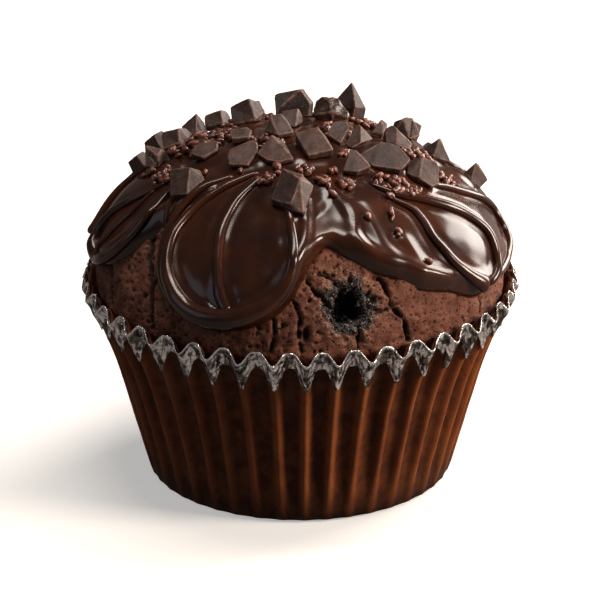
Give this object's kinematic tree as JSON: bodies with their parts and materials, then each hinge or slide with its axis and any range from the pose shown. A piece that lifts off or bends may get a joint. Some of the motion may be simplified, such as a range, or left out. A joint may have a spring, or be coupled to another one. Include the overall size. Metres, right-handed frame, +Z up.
{
  "type": "chocolate cupcake",
  "caption": "Domed chocolate cupcake in a pleated paper cup with a foil rim, topped with glaze, drizzled strands, chopped chocolate and crumbs.",
  "frame": {"origin": "middle of the cup's flat base, on the surface it stands on", "axes": "+Z up through the top of the dome, -Y towards the front with the burst crust, +X to the right"},
  "size_m": [0.0736, 0.0738, 0.0609],
  "materials": {
    "paper": "brown greaseproof paper, slightly translucent, with grease marks",
    "foil": "crinkled silver foil",
    "sponge": "matte, porous chocolate crust",
    "glaze": "wet-looking dark chocolate glaze",
    "chocolate": "satin chopped chocolate with paler worn edges",
    "crumb": "satin reddish-brown chocolate crumbs"
  },
  "bodies": {
    "root": {"baking_cup": "paper", "foil_rim": "foil", "cake": "sponge", "glaze": "glaze", "drizzle_right_front": "glaze", "drizzle_right": "glaze", "drizzle_left_front": "glaze", "drizzle_left": "glaze", "drizzle_back_left": "glaze", "drizzle_back": "glaze", "chunk_01": "chocolate", "chunk_02": "chocolate", "chunk_03": "chocolate", "chunk_04": "chocolate", "chunk_05": "chocolate", "chunk_06": "chocolate", "chunk_07": "chocolate", "chunk_08": "chocolate", "chunk_09": "chocolate", "chunk_10": "chocolate", "chunk_11": "chocolate", "chunk_12": "chocolate", "chunk_13": "chocolate", "chunk_14": "chocolate", "chunk_15": "chocolate", "chunk_16": "chocolate", "chunk_17": "chocolate", "chunk_18": "chocolate", "chunk_19": "chocolate", "chunk_20": "chocolate", "chunk_21": "chocolate", "chunk_22": "chocolate", "chunk_23": "chocolate", "chunk_24": "chocolate", "chunk_25": "chocolate", "chunk_26": "chocolate", "chunk_27": "chocolate", "chunk_28": "chocolate", "chunk_29": "chocolate", "chunk_30": "chocolate", "chunk_31": "chocolate", "chunk_32": "chocolate", "chunk_33": "chocolate", "chunk_34": "chocolate", "chunk_35": "chocolate", "chunk_36": "chocolate", "crumbs_1": "crumb", "crumbs_2": "crumb", "crumbs_3": "crumb", "crumbs_4": "crumb", "crumbs_5": "crumb", "crumbs_6": "crumb", "crumbs_7": "crumb", "crumbs_8": "crumb"}
  },
  "joints": []
}
